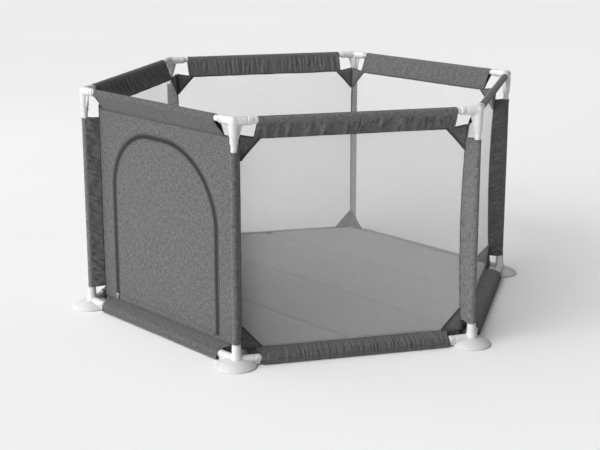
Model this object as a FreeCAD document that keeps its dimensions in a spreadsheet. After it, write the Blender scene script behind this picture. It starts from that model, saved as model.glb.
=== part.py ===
import FreeCAD, Part
import math
import os

import Sketcher

from FreeCAD import Placement, Rotation, Vector

# A six-sided play pen. Origin: centre of the hexagon on the floor, +Z up.
# Corners stand at 0, 60, 120 ... degrees; the door is in the side that faces -Y.
# All lengths are millimetres.

DIMENSIONS = {
    "corner_radius": 640.0,        # centre of the pen to a post's axis
    "rail_top_height": 637.0,      # axis of the top rails
    "rail_base_height": 17.0,      # axis of the bottom rails
    "tube_radius": 8.0,
    "tube_wall": 1.2,
    "socket_gap": 0.1,             # tube to socket, radial
    "tube_inset": 24.0,            # tube end to the crossing of the axes
    "lug_length": 5.0,             # snap lug near each rail end
    "lug_width": 6.0,
    "lug_rise": 1.6,
    "lug_root": 0.6,               # depth that a lug is let into its tube
    "hub_radius": 13.0,
    "arm_root_radius": 12.5,
    "arm_tip_radius": 10.0,
    "arm_length_top": 49.0,
    "arm_length_base": 62.0,
    "lock_from_tip": 4.0,          # lock slot to the socket's mouth
    "socket_root_radius": 12.0,
    "socket_tip_radius": 10.3,
    "socket_drop": 58.0,           # top rail axis to the lower end of the socket
    "socket_rise": 41.0,           # bottom rail axis to the upper end of the socket
    "post_entry_top": 36.0,        # length of post inside the upper socket
    "post_entry_base": 20.0,
    "web_thickness": 4.0,
    "web_reach": 24.0,
    "web_drop": 50.0,
    "keel_width": 16.0,
    "keel_drop": 15.0,             # bottom rail axis to the underside of the arms
    "foot_radius": 53.5,
    "foot_rim": 4.0,
    "foot_height": 21.0,
    "seam_radius": 600.0,          # centre of the pen to a corner seam of the cover
    "panel_bottom": 33.0,
    "panel_top": 580.0,
    "mesh_thickness": 1.0,
    "door_thickness": 2.0,
    "panel_end_gap": 1.6,          # panel end to the corner seam
    "gusset_along": 52.0,          # corner gusset, along the seam
    "gusset_up": 58.0,             # corner gusset, along the corner
    "sleeve_radius": 9.6,
    "sleeve_bore": 8.4,
    "sleeve_edge": 1.5,            # half thickness at the seam
    "sleeve_length": 520.0,
    "sleeve_base_length": 502.0,
    "sleeve_base_radius": 13.0,
    "sleeve_base_sag": 1.5,        # slack sleeve hangs below the bottom rail's axis
    "door_sleeve_shift": -5.0,     # the door's top sleeve has slid towards the left post
    "seam_clearance": 2.4,         # sleeve edge to the plane of the panels
    "post_sleeve_bottom": 60.0,
    "post_sleeve_top": 560.0,
    "door_left": -236.0,           # centre line of the zip, left leg
    "door_right": 206.0,
    "door_bottom": 42.0,
    "door_top": 535.0,
    "shoulder_left": 165.0,
    "shoulder_right": 215.0,
    "coil_half": 2.5,              # half width of the zip's coil
    "coil_gap": 0.15,
    "coil_thickness": 2.4,
    "slider_width": 10.0,
    "slider_height": 14.0,
    "slider_plate": 2.2,
    "slider_bottom": 38.0,
    "slider_clearance": 0.4,
    "pull_length": 14.5,
    "pull_width": 4.2,
    "pull_plate": 1.2,
    "pivot_height": 49.5,
    "pivot_radius": 0.6,
    "barrel_radius": 1.4,
    "barrel_bore": 0.68,
    "eye_radius": 1.2,             # hole in the pull's end
    "pivot_stand_off": 1.6,        # slider's face to the pull's pivot
    "mat_radius": 596.0,
    "mat_bottom": 3.0,
    "mat_top": 35.0,
    "mat_edge": 9.0,
    "mat_recess": 12.0,            # height of the hollows under the mat for the feet
}

CORNERS = {
    "right": 0,
    "back_right": 60,
    "back_left": 120,
    "left": 180,
    "front_left": 240,
    "front_right": 300,
}

# Each side is named for where it faces; the angle is that of its outward normal.
SIDES = {
    "right_back": 30,
    "back": 90,
    "left_back": 150,
    "left_front": 210,
    "front": 270,
    "right_front": 330,
}

doc = FreeCAD.newDocument("PlayPen")
sheet = doc.addObject("Spreadsheet::Sheet", "Dims")
parts = []


def fill_sheet():
    for row, (name, value) in enumerate(DIMENSIONS.items(), start=1):
        sheet.set(f"A{row}", name)
        sheet.set(f"B{row}", str(value))
        sheet.setAlias(f"B{row}", name)
    doc.recompute()


def size(name):
    return float(getattr(sheet, name))


def bind(obj, **expressions):
    """Tie properties of an object to the sheet. Aliases stand alone in the text."""
    for prop, expression in expressions.items():
        obj.setExpression(prop, expression)
    return obj


def keep(obj, name, placement=None):
    """Name a finished sub-part and put it where it belongs."""
    obj.Label = name
    if placement is not None:
        obj.Placement = placement
    parts.append(obj)
    return obj


def cylinder(radius, height, placement=Placement()):
    obj = doc.addObject("Part::Cylinder", "Cylinder")
    obj.Placement = placement
    return bind(obj, Radius=radius, Height=height)


def cone(radius_from, radius_to, height, placement=Placement()):
    obj = doc.addObject("Part::Cone", "Cone")
    obj.Placement = placement
    return bind(obj, Radius1=radius_from, Radius2=radius_to, Height=height)


def box(length, width, height, placement=Placement()):
    obj = doc.addObject("Part::Box", "Box")
    obj.Placement = placement
    return bind(obj, Length=length, Width=width, Height=height)


def fuse(shapes):
    obj = doc.addObject("Part::MultiFuse", "Fusion")
    obj.Shapes = shapes
    return obj


def cut(base, tool):
    obj = doc.addObject("Part::Cut", "Cut")
    obj.Base = base
    obj.Tool = tool
    return obj


def group(shapes):
    obj = doc.addObject("Part::Compound", "Group")
    obj.Links = shapes
    return obj


def corner_placement(angle):
    """Local +X points away from the pen's centre, local Z is the post's axis."""
    turn = Rotation(Vector(0, 0, 1), angle)
    return Placement(turn.multVec(Vector(size("corner_radius"), 0, 0)), turn)


def side_placement(angle, reach, height=0.0):
    """Local +X points out of the side, local +Y runs along it, from the middle of the side."""
    turn = Rotation(Vector(0, 0, 1), angle)
    return Placement(turn.multVec(Vector(reach, 0, height)), turn)


def apothem(radius):
    return radius * math.cos(math.radians(30))


def along(direction, start=0.0, height=0.0):
    """Local Z lies level in the given direction, starting some way out from the post's axis."""
    level = Rotation(Vector(0, 0, 1), direction).multVec(Vector(1, 0, 0))
    turn = Rotation(Vector(0, 0, 1), level)
    return Placement(level * start + Vector(0, 0, height), turn)


def tube(length):
    outside = cylinder("Dims.tube_radius", length)
    inside = cylinder("Dims.tube_radius - Dims.tube_wall", length)
    return cut(outside, inside)


def make_posts():
    """Uprights: plain tubes between the lower and the upper corner pieces."""
    low = size("rail_base_height") + size("socket_rise") - size("post_entry_base")
    for name, angle in CORNERS.items():
        post = tube(f"Dims.rail_top_height - Dims.socket_drop + Dims.post_entry_top - {low}")
        place = corner_placement(angle)
        place.Base.z = low
        keep(post, f"post_{name}", place)


def rail(arm_length):
    """A tube along local Z with a snap lug near each end, on its outer side."""
    body = tube("Dims.corner_radius - 2 * Dims.tube_inset")
    lug_start = size(arm_length) - size("lock_from_tip") - size("tube_inset") - size("lug_length")
    lug_far = size("corner_radius") - 2 * size("tube_inset") - lug_start - size("lug_length")
    lugs = []
    for start in (lug_start, lug_far):
        origin = Vector(size("tube_radius") - size("lug_root"), -size("lug_width") / 2, start)
        place = Placement(origin, Rotation())
        lugs.append(box("Dims.lug_rise + Dims.lug_root", "Dims.lug_width", "Dims.lug_length", place))
    return fuse([body] + lugs)


def make_rails():
    """Twelve rails; each lies along its side, its lugs facing outwards."""
    reach = apothem(size("corner_radius"))
    half = size("corner_radius") / 2 - size("tube_inset")
    for kind, height, arm in (
        ("top_rail", "rail_top_height", "arm_length_top"),
        ("bottom_rail", "rail_base_height", "arm_length_base"),
    ):
        for name, angle in SIDES.items():
            lying = Placement(Vector(0, half, 0), Rotation(Vector(1, 0, 0), 90))
            place = side_placement(angle, reach, size(height)).multiply(lying)
            keep(rail(arm), f"{kind}_{name}", place)


def arm(direction, length, height):
    """One socket arm of a corner piece, with its bore and the slot that the lug snaps into."""
    body = cone(
        "Dims.arm_root_radius",
        "Dims.arm_tip_radius",
        f"Dims.{length}",
        along(direction, 0, size(height)),
    )
    bore = cylinder(
        "Dims.tube_radius + Dims.socket_gap",
        f"Dims.{length}",
        along(direction, size("tube_inset") - 1, size(height)),
    )
    outward = direction - 90 if direction > 0 else direction + 90
    reach = size(length) - size("lock_from_tip") - size("lug_length") - 1
    level = Rotation(Vector(0, 0, 1), direction)
    corner = level.multVec(Vector(reach, 0, 0))
    sideways = Rotation(Vector(0, 0, 1), outward)
    offset = sideways.multVec(Vector(size("tube_radius") - 2, 0, 0))
    across = Vector(0, 0, -size("lug_width") / 2 - 1)
    origin = corner + offset + across + Vector(0, 0, size(height))
    # The slot's box runs away from the tube, then along the arm, then up.
    if direction < 0:
        origin += level.multVec(Vector(size("lug_length") + 2, 0, 0))
    slot = box(
        "Dims.arm_root_radius",
        "Dims.lug_length + 2",
        "Dims.lug_width + 2",
        Placement(origin, sideways),
    )
    return body, bore, slot


def web(direction, height):
    """Thin triangular web in the angle between an arm and the upright socket."""
    wedge = doc.addObject("Part::Wedge", "Web")
    bind(
        wedge,
        Xmin="-Dims.web_thickness / 2",
        Xmax="Dims.web_thickness / 2",
        X2min="-Dims.web_thickness / 2",
        X2max="Dims.web_thickness / 2",
        Ymin="0",
        Ymax="Dims.web_drop",
        Zmin="0",
        Zmax="Dims.web_reach",
        Z2min="0",
        Z2max="Dims.socket_tip_radius",
    )
    level = Rotation(Vector(0, 0, 1), direction).multVec(Vector(1, 0, 0))
    down = Vector(0, 0, -1)
    turn = Rotation(down.cross(level), down, level, "ZYX")
    wedge.Placement = Placement(Vector(0, 0, height), turn)
    return wedge


ARM_DIRECTIONS = (120, -120)


def make_top_connectors():
    """Three-way corner: two arms for the rails and a tapered socket over the post."""
    axis = size("rail_top_height")
    for name, angle in CORNERS.items():
        hub = doc.addObject("Part::Sphere", "Hub")
        hub.Placement = Placement(Vector(0, 0, axis), Rotation())
        bind(hub, Radius="Dims.hub_radius")
        foot_end = Placement(Vector(0, 0, axis - size("socket_drop")), Rotation())
        socket = cone("Dims.socket_tip_radius", "Dims.socket_root_radius", "Dims.socket_drop", foot_end)
        bore = cylinder("Dims.tube_radius + Dims.socket_gap", "Dims.post_entry_top", foot_end)
        solids = [hub, socket]
        voids = [bore]
        for direction in ARM_DIRECTIONS:
            body, hole, slot = arm(direction, "arm_length_top", "rail_top_height")
            solids += [body, web(direction, axis)]
            voids += [hole, slot]
        keep(cut(fuse(solids), fuse(voids)), f"top_connector_{name}", corner_placement(angle))


def base_connector_solids(grow=0.0):
    """Hub, upright socket, two arms and their keels, swollen by grow for the foot's recess."""
    axis = size("rail_base_height")
    extra = f" + {grow}"
    solids = [
        cone(
            "Dims.hub_radius" + extra,
            "Dims.socket_tip_radius" + extra,
            "Dims.socket_rise + Dims.keel_drop",
            Placement(Vector(0, 0, axis - size("keel_drop")), Rotation()),
        )
    ]
    for direction in ARM_DIRECTIONS:
        solids.append(
            cone(
                "Dims.arm_root_radius" + extra,
                "Dims.arm_tip_radius" + extra,
                "Dims.arm_length_base" + extra,
                along(direction, 0, axis),
            )
        )
        level = Rotation(Vector(0, 0, 1), direction)
        origin = level.multVec(Vector(0, -size("keel_width") / 2 - grow, 0))
        origin.z = axis - size("keel_drop") - grow
        solids.append(
            box(
                "Dims.arm_length_base" + extra,
                f"Dims.keel_width + {2 * grow}",
                "Dims.keel_drop" + extra,
                Placement(origin, level),
            )
        )
    return solids


def make_bottom_connectors():
    """The lower corners: the same three ways, set down into the feet."""
    axis = size("rail_base_height")
    for name, angle in CORNERS.items():
        post_end = axis + size("socket_rise") - size("post_entry_base")
        rise = Placement(Vector(0, 0, post_end - 1), Rotation())
        voids = [cylinder("Dims.tube_radius + Dims.socket_gap", "Dims.socket_rise", rise)]
        for direction in ARM_DIRECTIONS:
            _, hole, slot = arm(direction, "arm_length_base", "rail_base_height")
            voids += [hole, slot]
        solid = cut(fuse(base_connector_solids()), fuse(voids))
        keep(solid, f"bottom_connector_{name}", corner_placement(angle))


def new_body(name):
    return doc.addObject("PartDesign::Body", name)


def plane_of(body, role):
    for feature in body.Origin.OriginFeatures:
        if feature.Role == role:
            return feature
    raise ValueError(role)


def new_sketch(body, role):
    sketch = body.newObject("Sketcher::SketchObject", "Sketch")
    sketch.AttachmentSupport = [(plane_of(body, role), "")]
    sketch.MapMode = "FlatFace"
    return sketch


def outline(sketch, corners):
    """Closed polygon; each corner is a pair of expressions, tied to the sketch's origin."""
    points = []
    for x, y in corners:
        points.append(Vector(float(sheet.evalExpression(x)), float(sheet.evalExpression(y)), 0))
    count = len(points)
    first = sketch.GeometryCount
    for index, point in enumerate(points):
        sketch.addGeometry(Part.LineSegment(point, points[(index + 1) % count]), False)
    for index in range(count):
        following = first + (index + 1) % count
        sketch.addConstraint(Sketcher.Constraint("Coincident", first + index, 2, following, 1))
    for index, (x, y) in enumerate(corners):
        point = points[index]
        for kind, expression, value in (("DistanceX", x, point.x), ("DistanceY", y, point.y)):
            number = sketch.addConstraint(Sketcher.Constraint(kind, -1, 1, first + index, 1, value))
            sketch.setExpression(f"Constraints[{number}]", expression)


def pad(body, sketch, length, midplane=False):
    feature = body.newObject("PartDesign::Pad", "Pad")
    feature.Profile = sketch
    feature.Midplane = midplane
    bind(feature, Length=length)
    sketch.Visibility = False
    return feature


def make_feet():
    """Low round feet with a domed top, recessed for the corner piece that sits in them."""
    for name, angle in CORNERS.items():
        rim = cylinder("Dims.foot_radius", "Dims.foot_rim")
        # A shallow dome: the cap of a large ball, cut off at the rim.
        reach = size("foot_radius")
        rise = size("foot_height") - size("foot_rim")
        ball_radius = (reach ** 2 + rise ** 2) / (2 * rise)
        ball = doc.addObject("Part::Sphere", "Dome")
        bind(
            ball,
            Radius="(Dims.foot_radius ^ 2 + (Dims.foot_height - Dims.foot_rim) ^ 2)"
            " / (2 * (Dims.foot_height - Dims.foot_rim))",
        )
        ball.Placement = Placement(Vector(0, 0, size("foot_height") - ball_radius), Rotation())
        blank = cylinder("Dims.foot_radius", "Dims.foot_height")
        cap = doc.addObject("Part::MultiCommon", "Cap")
        cap.Shapes = [ball, blank]
        solid = cut(fuse([rim, cap]), fuse(base_connector_solids(0.15)))
        keep(solid, f"foot_{name}", corner_placement(angle))


def sleeve(radius, bore_radius, reach, length, sag=0.0):
    """
    A sleeve of cloth round a tube: a round part, and a flat part that narrows towards its seam.
    Local Z is the tube's axis, from the middle of the sleeve, and local +Y leads to the seam.
    """
    centre = Placement(Vector(sag, 0, -size(length) / 2), Rotation())
    roll = cylinder(radius, f"Dims.{length}", centre)
    flat = doc.addObject("Part::Wedge", "Flat")
    flat.Placement = centre
    bind(
        flat,
        Xmin=f"-{radius}",
        Xmax=radius,
        X2min=f"-Dims.sleeve_edge - {sag}",
        X2max=f"Dims.sleeve_edge - {sag}",
        Ymin="0",
        Ymax=f"{reach}",
        Zmin="0",
        Zmax=f"Dims.{length}",
        Z2min="0",
        Z2max=f"Dims.{length}",
    )
    hollow = cylinder(
        bore_radius,
        f"Dims.{length} + 2",
        Placement(Vector(0, 0, -size(length) / 2 - 1), Rotation()),
    )
    return cut(fuse([roll, flat]), hollow)


def lean(out, up):
    """Turn a sleeve so that local Z runs along its side and local +Y leads to the seam."""
    seam = Vector(out, 0, up).normalize()
    rail_way = Vector(0, 1, 0)
    return Rotation(seam.cross(rail_way), seam, rail_way, "ZYX")


def make_top_sleeves():
    """Bands of cloth that hang from the top rails and lean in to the seam of the panels."""
    rail_reach = apothem(size("corner_radius"))
    seam_reach = apothem(size("seam_radius")) + size("seam_clearance")
    out = seam_reach - rail_reach
    up = size("panel_top") - size("rail_top_height")
    span = math.hypot(out, up)
    for name, angle in SIDES.items():
        band = sleeve("Dims.sleeve_radius", "Dims.sleeve_bore", span, "sleeve_length")
        shift = -size("door_sleeve_shift") if name == "front" else 0.0
        place = side_placement(angle, rail_reach, size("rail_top_height"))
        place = place.multiply(Placement(Vector(0, -shift, 0), lean(out, up)))
        keep(band, f"top_sleeve_{name}", place)


def make_bottom_sleeves():
    """The six slack bands round the bottom rails, as one group."""
    rail_reach = apothem(size("corner_radius"))
    seam_reach = apothem(size("seam_radius")) + size("seam_clearance")
    out = seam_reach - rail_reach
    up = size("panel_bottom") - size("sleeve_edge") - size("rail_base_height")
    span = math.hypot(out, up)
    bands = []
    for angle in SIDES.values():
        band = sleeve(
            "Dims.sleeve_base_radius",
            "Dims.sleeve_bore",
            span,
            "sleeve_base_length",
            size("sleeve_base_sag"),
        )
        place = side_placement(angle, rail_reach, size("rail_base_height"))
        band.Placement = place.multiply(Placement(Vector(), lean(out, up)))
        bands.append(band)
    keep(group(bands), "bottom_sleeves")


def make_post_sleeves():
    """The six upright fins: from the cover's corner seams out round the posts, as one group."""
    reach = size("corner_radius") - size("seam_radius")
    fins = []
    for angle in CORNERS.values():
        roll = cylinder("Dims.sleeve_radius", "Dims.post_sleeve_top - Dims.post_sleeve_bottom")
        flat = doc.addObject("Part::Wedge", "Fin")
        bind(
            flat,
            Xmin="-Dims.sleeve_radius",
            Xmax="Dims.sleeve_radius",
            X2min="-Dims.sleeve_edge",
            X2max="Dims.sleeve_edge",
            Ymin="0",
            Ymax=f"{reach}",
            Zmin="0",
            Zmax="Dims.post_sleeve_top - Dims.post_sleeve_bottom",
            Z2min="0",
            Z2max="Dims.post_sleeve_top - Dims.post_sleeve_bottom",
        )
        hollow = cylinder("Dims.sleeve_bore", "Dims.post_sleeve_top")
        fin = cut(fuse([roll, flat]), hollow)
        inwards = Placement(Vector(0, 0, size("post_sleeve_bottom")), Rotation(Vector(0, 0, 1), 90))
        fin.Placement = corner_placement(angle).multiply(inwards)
        fins.append(fin)
    keep(group(fins), "post_sleeves")


HALF_PANEL = "(Dims.seam_radius / 2 - Dims.panel_end_gap)"


def make_mesh_panels():
    """Five net walls, their corners cut off where the cloth gussets are."""
    for name, angle in SIDES.items():
        if name == "front":
            continue
        body = new_body("MeshPanel")
        sketch = new_sketch(body, "YZ_Plane")
        shoulder = f"{HALF_PANEL} - Dims.gusset_along"
        low = "Dims.panel_bottom + Dims.gusset_up"
        high = "Dims.panel_top - Dims.gusset_up"
        outline(
            sketch,
            [
                (f"-({shoulder})", "Dims.panel_bottom"),
                (shoulder, "Dims.panel_bottom"),
                (HALF_PANEL, low),
                (HALF_PANEL, high),
                (shoulder, "Dims.panel_top"),
                (f"-({shoulder})", "Dims.panel_top"),
                (f"-{HALF_PANEL}", high),
                (f"-{HALF_PANEL}", low),
            ],
        )
        pad(body, sketch, "Dims.mesh_thickness", midplane=True)
        keep(body, f"mesh_panel_{name}", side_placement(angle, apothem(size("seam_radius"))))


def make_corner_gussets():
    """Triangles of cloth in the corners of the net walls, as one group."""
    triangles = []
    for name, angle in SIDES.items():
        if name == "front":
            continue
        for hand in ("", "-"):
            for level, step in (("Dims.panel_bottom", "+"), ("Dims.panel_top", "-")):
                body = new_body("Gusset")
                sketch = new_sketch(body, "YZ_Plane")
                outline(
                    sketch,
                    [
                        (f"{hand}({HALF_PANEL} - Dims.gusset_along)", level),
                        (f"{hand}{HALF_PANEL}", level),
                        (f"{hand}{HALF_PANEL}", f"{level} {step} Dims.gusset_up"),
                    ],
                )
                pad(body, sketch, "Dims.mesh_thickness", midplane=True)
                body.Placement = side_placement(angle, apothem(size("seam_radius")))
                triangles.append(body)
    keep(group(triangles), "corner_gussets")


def door_blank(grow, thickness, bottom):
    """A round-shouldered upright slab: the zip's line moved outwards by grow."""
    body = new_body("DoorBlank")
    sketch = new_sketch(body, "YZ_Plane")
    left = f"Dims.door_left - {grow}"
    right = f"Dims.door_right + {grow}"
    top = f"Dims.door_top + {grow}"
    outline(sketch, [(left, bottom), (right, bottom), (right, top), (left, top)])
    pad(body, sketch, thickness, midplane=True)
    doc.recompute()
    for radius, x_name in (("shoulder_left", "door_left"), ("shoulder_right", "door_right")):
        sign = -1 if x_name == "door_left" else 1
        target = Vector(0, size(x_name) + sign * grow, size("door_top") + grow)
        base = body.Tip
        fillet = body.newObject("PartDesign::Fillet", "Shoulder")
        fillet.Base = (base, [edge_at(base.Shape, target)])
        bind(fillet, Radius=f"Dims.{radius} + {grow}")
        body.Tip = fillet
        doc.recompute()
    return body


def edge_at(shape, target):
    """Name of the straight edge whose middle is nearest to a point."""
    def distance(item):
        return item[1].CenterOfMass.distanceToPoint(target)

    number, _ = min(enumerate(shape.Edges, start=1), key=distance)
    return f"Edge{number}"


def make_door():
    """The door wall, its round-shouldered flap, and the two halves of the zip's coil."""
    front = side_placement(SIDES["front"], apothem(size("seam_radius")))
    half = size("coil_half")
    gap = size("coil_gap")

    wall = new_body("DoorWall")
    sketch = new_sketch(wall, "YZ_Plane")
    outline(
        sketch,
        [
            (f"-{HALF_PANEL}", "Dims.panel_bottom"),
            (HALF_PANEL, "Dims.panel_bottom"),
            (HALF_PANEL, "Dims.panel_top"),
            (f"-{HALF_PANEL}", "Dims.panel_top"),
        ],
    )
    pad(wall, sketch, "Dims.door_thickness", midplane=True)
    doorway = door_blank(half, "2 * Dims.door_thickness", "Dims.door_bottom - 0.3")
    keep(cut(wall, doorway), "door_panel", front)

    keep(door_blank(-half, "Dims.door_thickness", "Dims.door_bottom + 0.3"), "door_flap", front)

    start = "Dims.door_bottom + 2"
    for name, outer, inner in (
        ("zipper_coil_panel", half, gap),
        ("zipper_coil_flap", -gap, -half),
    ):
        ring = cut(
            door_blank(outer, "Dims.coil_thickness", start),
            door_blank(inner, "2 * Dims.coil_thickness", "Dims.door_bottom - 5"),
        )
        keep(ring, name, front)


def slider_frame():
    """Local +X out of the door, +Y along it, origin at the foot of the slider's back."""
    reach = apothem(size("seam_radius")) + size("coil_thickness") / 2 + size("slider_clearance")
    place = side_placement(SIDES["front"], reach, size("slider_bottom"))
    return place.multiply(Placement(Vector(0, size("door_left"), 0), Rotation()))


def make_slider():
    """Slider plate with two ears and the pin that the pull turns on."""
    width = size("slider_width")
    plate = box(
        "Dims.slider_plate",
        "Dims.slider_width",
        "Dims.slider_height",
        Placement(Vector(0, -width / 2, 0), Rotation()),
    )
    pivot_out = size("slider_plate") + size("pivot_stand_off")
    pivot_up = size("pivot_height") - size("slider_bottom")
    ear_gap = size("pull_width") / 2 + 0.3
    solids = [plate]
    for y in (ear_gap, -ear_gap - 1.0):
        origin = Vector(size("slider_plate") - 0.2, y, pivot_up - 1.4)
        solids.append(box("Dims.pivot_stand_off + 1.4", "1", "2.8", Placement(origin, Rotation())))
    pin_start = Vector(pivot_out, -ear_gap - 0.5, pivot_up)
    solids.append(
        cylinder(
            "Dims.pivot_radius",
            f"{2 * ear_gap + 1}",
            Placement(pin_start, Rotation(Vector(1, 0, 0), -90)),
        )
    )
    keep(fuse(solids), "zipper_slider", slider_frame())


def make_pull():
    """The pull: a barrel round the slider's pin and a flat tab with a hole in its end."""
    width = size("pull_width")
    pivot_out = size("slider_plate") + size("pivot_stand_off")
    pivot_up = size("pivot_height") - size("slider_bottom")
    lying = Rotation(Vector(1, 0, 0), -90)
    barrel = cylinder(
        "Dims.barrel_radius",
        "Dims.pull_width",
        Placement(Vector(pivot_out, -width / 2, pivot_up), lying),
    )
    tab = box(
        "Dims.pull_plate",
        "Dims.pull_width",
        "Dims.pull_length",
        Placement(
            Vector(pivot_out - size("pull_plate") / 2, -width / 2, pivot_up - size("pull_length")),
            Rotation(),
        ),
    )
    bore = cylinder(
        "Dims.barrel_bore",
        "Dims.pull_width + 2",
        Placement(Vector(pivot_out, -width / 2 - 1, pivot_up), lying),
    )
    eye_up = pivot_up - size("pull_length") + 3.5
    eye = cylinder(
        "Dims.eye_radius",
        "4",
        Placement(Vector(pivot_out - 2, 0, eye_up), Rotation(Vector(0, 1, 0), 90)),
    )
    keep(cut(fuse([barrel, tab]), fuse([bore, eye])), "zipper_pull", slider_frame())


def make_mat():
    """Padded floor mat, a low six-sided cushion that fills the pen from wall to wall."""
    body = new_body("Mat")
    prism = body.newObject("PartDesign::AdditivePrism", "Prism")
    prism.Polygon = 6
    bind(prism, Circumradius="Dims.mat_radius", Height="Dims.mat_top - Dims.mat_bottom")
    doc.recompute()
    rim = []
    for number, edge in enumerate(prism.Shape.Edges, start=1):
        if abs(edge.CenterOfMass.z - (size("mat_top") - size("mat_bottom"))) < 0.01:
            rim.append(f"Edge{number}")
    fillet = body.newObject("PartDesign::Fillet", "RoundRim")
    fillet.Base = (prism, rim)
    bind(fillet, Radius="Dims.mat_edge")
    body.Tip = fillet
    body.Placement = Placement(Vector(0, 0, size("mat_bottom")), Rotation())
    recesses = []
    for angle in CORNERS.values():
        recesses.append(cylinder("Dims.foot_radius + 1", "Dims.mat_recess", corner_placement(angle)))
    keep(cut(body, fuse(recesses)), "floor_mat")


def check_and_export():
    doc.recompute()
    for obj in doc.Objects:
        if "Invalid" in obj.State or "Error" in obj.State:
            raise RuntimeError(f"{obj.Label}: {obj.State}")
    os.makedirs("parts", exist_ok=True)
    for part in parts:
        shape = part.Shape
        if shape.isNull() or not shape.isValid():
            raise RuntimeError(f"{part.Label} has no valid shape")
        shape.exportStep(f"parts/{part.Label}.step")
    print(len(parts), "sub-parts written")


fill_sheet()
make_posts()
make_rails()
make_top_connectors()
make_bottom_connectors()
make_feet()
make_top_sleeves()
make_bottom_sleeves()
make_post_sleeves()
make_mesh_panels()
make_corner_gussets()
make_door()
make_slider()
make_pull()
make_mat()
check_and_export()
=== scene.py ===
import math
from itertools import product

import bpy
import bmesh
import numpy as np
from mathutils import Matrix, Vector, noise


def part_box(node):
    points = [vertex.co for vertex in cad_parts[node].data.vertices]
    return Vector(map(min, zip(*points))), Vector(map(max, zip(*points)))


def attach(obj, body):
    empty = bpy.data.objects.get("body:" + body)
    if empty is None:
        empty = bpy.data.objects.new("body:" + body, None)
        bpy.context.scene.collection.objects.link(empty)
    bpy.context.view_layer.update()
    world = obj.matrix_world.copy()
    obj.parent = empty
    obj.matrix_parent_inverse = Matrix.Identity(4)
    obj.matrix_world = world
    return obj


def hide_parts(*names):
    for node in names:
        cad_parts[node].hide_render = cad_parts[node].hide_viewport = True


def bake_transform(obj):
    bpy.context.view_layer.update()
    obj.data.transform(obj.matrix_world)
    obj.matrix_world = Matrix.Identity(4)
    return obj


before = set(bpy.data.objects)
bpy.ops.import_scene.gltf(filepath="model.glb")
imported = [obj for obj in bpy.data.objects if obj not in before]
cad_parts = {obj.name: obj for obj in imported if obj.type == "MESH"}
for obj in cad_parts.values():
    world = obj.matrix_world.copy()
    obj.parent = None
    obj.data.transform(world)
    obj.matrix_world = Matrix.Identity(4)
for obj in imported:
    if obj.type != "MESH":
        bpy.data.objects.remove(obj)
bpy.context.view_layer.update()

# The visual model of a six-sided play pen, in metres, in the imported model's frame.
# Its centre is the origin, corners stand at 0, 60, 120 ... degrees, and the door faces -Y.

FRAME = "frame_and_cover"
FLAP = "door_flap"
SLIDER = "zip_slider"
PULL = "zip_pull"

CORNERS = {
    "right": 0, "back_right": 60, "back_left": 120, "left": 180, "front_left": 240, "front_right": 300,
}
SIDES = {
    "right_back": 30, "back": 90, "left_back": 150, "left_front": 210, "front": 270, "right_front": 330,
}
HANDS = ((-1, "right"), (1, "left"))
NET_SIDES = [name for name in SIDES if name != "front"]
DOOR_CORNERS = ("front_left", "front_right")


def middle(node):
    low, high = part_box(node)
    return (low + high) / 2


COS30 = math.cos(math.radians(30))
TAN30 = math.tan(math.radians(30))
CORNER_RADIUS = middle("post_right").x
RAIL_OUT = CORNER_RADIUS * COS30
RAIL_UP = middle("top_rail_back").z
BASE_UP = middle("bottom_rail_back").z
PANEL_OUT = middle("mesh_panel_back").y
SEAM_RADIUS = PANEL_OUT / COS30
PANEL_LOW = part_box("mesh_panel_back")[0].z
PANEL_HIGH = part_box("mesh_panel_back")[1].z + 0.006
PANEL_HALF = SEAM_RADIUS / 2 - 0.0016
SLEEVE_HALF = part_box("top_sleeve_back")[1].x
SLEEVE_RADIUS = 0.0092      # of the cloth where it goes round a tube
BASE_SLEEVE_HALF = 0.251
FIN_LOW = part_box("post_sleeves")[0].z
FIN_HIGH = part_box("post_sleeves")[1].z
COIL_HALF = 0.0025
DOOR_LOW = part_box("door_flap")[0].z
DOOR_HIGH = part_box("zipper_coil_panel")[1].z - COIL_HALF
DOOR_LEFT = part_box("zipper_coil_panel")[0].x + COIL_HALF
DOOR_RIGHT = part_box("zipper_coil_panel")[1].x - COIL_HALF
SHOULDER_LEFT = 0.165
SHOULDER_RIGHT = 0.215
GUSSET_ALONG = 0.052
GUSSET_UP = 0.058
GUSSET_RISE = 0.008         # the walls' upper edge climbs by this much towards a net corner
PLY = 0.0009                # thickness of one ply of cloth
DOOR_PLY = 0.0013
NET_THREAD = 0.0006         # thickness of the net, which closes its holes to a slanting look
NET_PULL = 0.011            # how far the taut nets are drawn in at mid height
CORNER_EASE = 0.006         # how much less the corner seams are drawn in
BORE_RADIUS = 8.25          # of the sockets, in mm


# ---------------------------------------------------------------- materials

def add_node(tree, kind, settings=None, output=0, **inputs):
    """A shader node's output; inputs are values, or outputs of other nodes to link from."""
    made = tree.nodes.new(kind)
    for key, value in (settings or {}).items():
        setattr(made, key, value)
    for key, value in inputs.items():
        socket = made.inputs[int(key[1:])] if key[0] == "i" and key[1:].isdigit() else made.inputs[key]
        if isinstance(value, bpy.types.NodeSocket):
            tree.links.new(value, socket)
        else:
            socket.default_value = value
    return made.outputs[output]


def blank_material(name, **principled):
    material = bpy.data.materials.new(name)
    material.use_nodes = True
    tree = material.node_tree
    shader = tree.nodes["Principled BSDF"]
    for key, value in principled.items():
        shader.inputs[key.replace("_", " ")].default_value = value
    return material, tree, shader


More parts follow.
